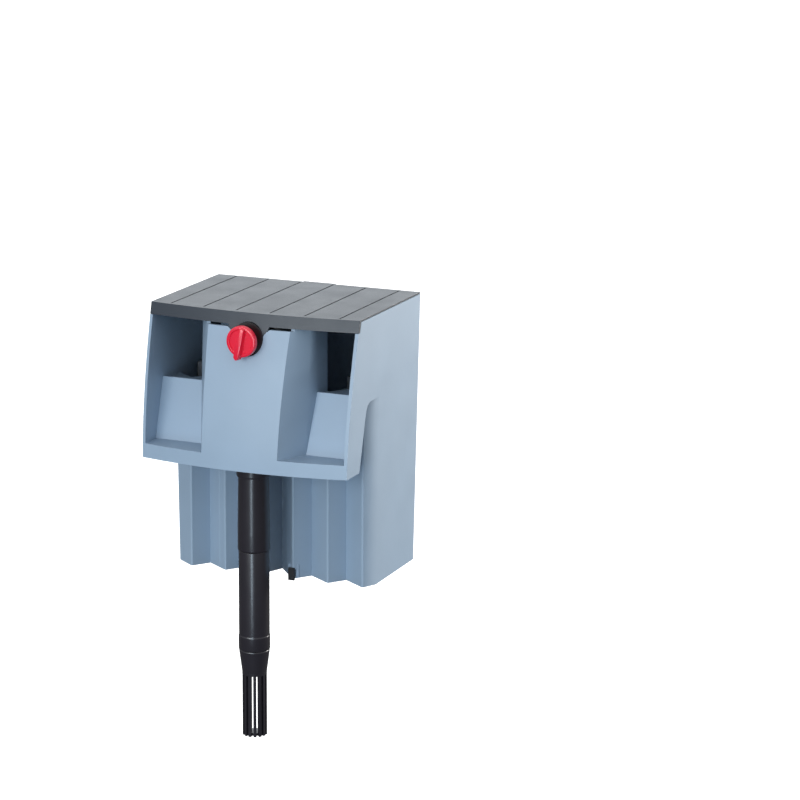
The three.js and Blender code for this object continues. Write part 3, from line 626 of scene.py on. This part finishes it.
# ---- filter pads -----------------------------------------------------------------------------------
def soft_pad(cad_node, cell, swell, pore_depth, pores_per_metre):
    """A foam or fleece pad: a block with soft edges, a little crowned, its surface pitted with pores."""
    low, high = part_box(cad_node)
    inset = Vector((0.15, 0.15, 0.15)) * MM
    low, high = low + inset, high - inset
    middle, half = (low + high) / 2, (high - low) / 2
    mesh = bmesh.new()
    bmesh.ops.create_cube(mesh, size=2)
    for axis in range(3):
        cuts = max(3, round(2 * half[axis] / cell))
        edges = [e for e in mesh.edges if abs((e.verts[0].co - e.verts[1].co)[axis]) > 1e-6]
        bmesh.ops.subdivide_edges(mesh, edges=edges, cuts=cuts, use_grid_fill=True)
    edge_radius = 1.3 * MM
    for vertex in mesh.verts:
        spot = Vector(vertex.co[i] * half[i] for i in range(3))
        core = Vector(max(-half[i] + edge_radius, min(half[i] - edge_radius, spot[i])) for i in range(3))
        away = spot - core
        outward = away.normalized() if away.length > 1e-9 else Vector((0, 0, 0))
        spot = core + outward * min(away.length, edge_radius)
        crown = swell * (1 - vertex.co.x**2) * (1 - vertex.co.z**4)
        spot.y *= 1 - swell / half.y + crown / half.y
        pit = noise.cell(spot * pores_per_metre) * 0.5 + noise.noise(spot * pores_per_metre * 0.8)
        vertex.co = middle + spot - outward * max(0.0, pit) * pore_depth
    piece = finished(cad_node.replace("pad", "block"), mesh, cad_node)


# ---- making the object -------------------------------------------------------------------------------
dress("filter_housing", bevel=0.7, segments=3)
dress("lid", bevel=0.45, segments=2)
dress("siphon_duct", bevel=0.5)
dress("flow_valve", bevel=0.3)
for name in ("pump_motor", "pump_cover", "glass_spacer_right", "glass_spacer_left"):
    dress(name, bevel=0.6, segments=3)
dress("cord_gland", bevel=0.35)
for name in ("cartridge_frame_right", "cartridge_frame_left"):
    dress(name, bevel=0.3, flatten=False)
for name in ("impeller", "rotor_magnet", "pump_shaft", "pump_gasket", "lower_bush", "upper_bush"):
    dress(name, bevel=0.2)
for name in ("spindle_seal", "duct_seal", "extension_seal"):
    dress(name, bevel=0.05, angle=60)
for i in range(1, 5):
    dress(f"cover_screw_{i}", bevel=0.12)
    dress(f"pump_foot_{i}", bevel=0.5)
tube_collar()
riser_tube()
extension_tube()
intake_strainer()
flow_knob()
for side in ("right", "left"):
    soft_pad(f"foam_pad_{side}", cell=1.2 * MM, swell=0.3 * MM, pore_depth=0.5 * MM, pores_per_metre=450)
    soft_pad(f"carbon_pad_{side}", cell=1.5 * MM, swell=0.5 * MM, pore_depth=0.3 * MM, pores_per_metre=330)


# ---- floor, light and camera ---------------------------------------------------------------------------
CAMERA_PLACE = Vector((1.0210, -2.1785, 0.5721))
CAMERA_YAW, CAMERA_PITCH, CAMERA_ROLL = (math.radians(a) for a in (22.68, 13.59, 0.34))
SENSOR_WIDTH = 36.0
FOCAL_LENGTH = 140.06


def make_camera():
    data = bpy.data.cameras.new("camera")
    data.sensor_width = SENSOR_WIDTH
    data.lens = FOCAL_LENGTH
    camera = bpy.data.objects.new("camera", data)
    bpy.context.scene.collection.objects.link(camera)
    turn = (
        Matrix.Rotation(CAMERA_YAW, 4, "Z")
        @ Matrix.Rotation(math.pi / 2 - CAMERA_PITCH, 4, "X")
        @ Matrix.Rotation(CAMERA_ROLL, 4, "Z")
    )
    camera.matrix_world = Matrix.Translation(CAMERA_PLACE) @ turn
    bpy.context.scene.camera = camera


def make_light(name, place, target, width, height, energy, color=(1, 1, 1)):
    """A softbox that faces its target."""
    data = bpy.data.lights.new(name, "AREA")
    data.shape = "RECTANGLE"
    data.size = width
    data.size_y = height
    data.energy = energy
    data.color = color
    light = bpy.data.objects.new(name, data)
    bpy.context.scene.collection.objects.link(light)
    light.location = place
    light.rotation_euler = (Vector(target) - light.location).to_track_quat("-Z", "Y").to_euler()
    light.visible_camera = False


def make_world(sky, ground, backdrop):
    """A soft sky above a dim ground lights the object, in front of a brighter white backdrop."""
    world = bpy.data.worlds.new("studio")
    bpy.context.scene.world = world
    world.use_nodes = True
    tree = world.node_tree
    add = tree.nodes.new
    background = tree.nodes["Background"]
    background.inputs["Color"].default_value = (0.97, 0.99, 1.0, 1)
    split = add("ShaderNodeSeparateXYZ")
    tree.links.new(add("ShaderNodeTexCoord").outputs["Generated"], split.inputs[0])
    dome = add("ShaderNodeMapRange")
    for name, number in (("From Min", -0.15), ("From Max", 0.2), ("To Min", ground), ("To Max", sky)):
        dome.inputs[name].default_value = number
    tree.links.new(split.outputs["Z"], dome.inputs["Value"])
    strength = add("ShaderNodeMapRange")
    strength.inputs["To Max"].default_value = backdrop
    tree.links.new(add("ShaderNodeLightPath").outputs["Is Camera Ray"], strength.inputs["Value"])
    tree.links.new(dome.outputs["Result"], strength.inputs["To Min"])
    tree.links.new(strength.outputs["Result"], background.inputs["Strength"])


def make_floor():
    """A wide pale floor a little below the strainer, because the filter hangs.

    It glows like a light table.
    """
    mesh = bmesh.new()
    reach, drop, glow = 14.0, 0.06, 0.66
    bmesh.ops.create_grid(mesh, x_segments=2, y_segments=2, size=reach)
    data = bpy.data.meshes.new("floor")
    mesh.to_mesh(data)
    mesh.free()
    floor = bpy.data.objects.new("floor", data)
    bpy.context.scene.collection.objects.link(floor)
    floor.location = (0, 0, cad_box[0][2] - drop)
    floor.visible_diffuse = False
    floor.visible_glossy = False
    g = Graph("pale_floor")
    base = g.ramp(g.noise(3, detail=3), (0.3, (0.86, 0.86, 0.86)), (0.7, (0.88, 0.88, 0.88)))
    g.link(base, g.shader.inputs["Base Color"])
    g.set(Roughness=0.9, Emission_Color=(1, 1, 1, 1), Emission_Strength=glow)
    data.materials.append(g.material)


make_camera()
make_world(sky=0.8, ground=0.1, backdrop=1.15)
HOOD = (0, 0, -0.03)
TUBE = (0, 0, -0.15)
make_light("front", (-0.45, -2.35, 0.4), HOOD, 1.1, 0.9, 22, (0.92, 0.98, 1.0))
make_light("right", (1.4, 1.75, 0.3), HOOD, 0.8, 1.0, 54, (1.0, 0.98, 0.94))
make_light("behind", (-1.1, 2.3, 0.6), HOOD, 1.6, 1.0, 5, (0.85, 0.93, 1.0))
make_light("tube strip", (0.14, -0.95, -0.15), TUBE, 0.18, 0.4, 2.4, (0.7, 0.86, 1.0))
make_floor()
bpy.context.scene.view_settings.view_transform = "Standard"
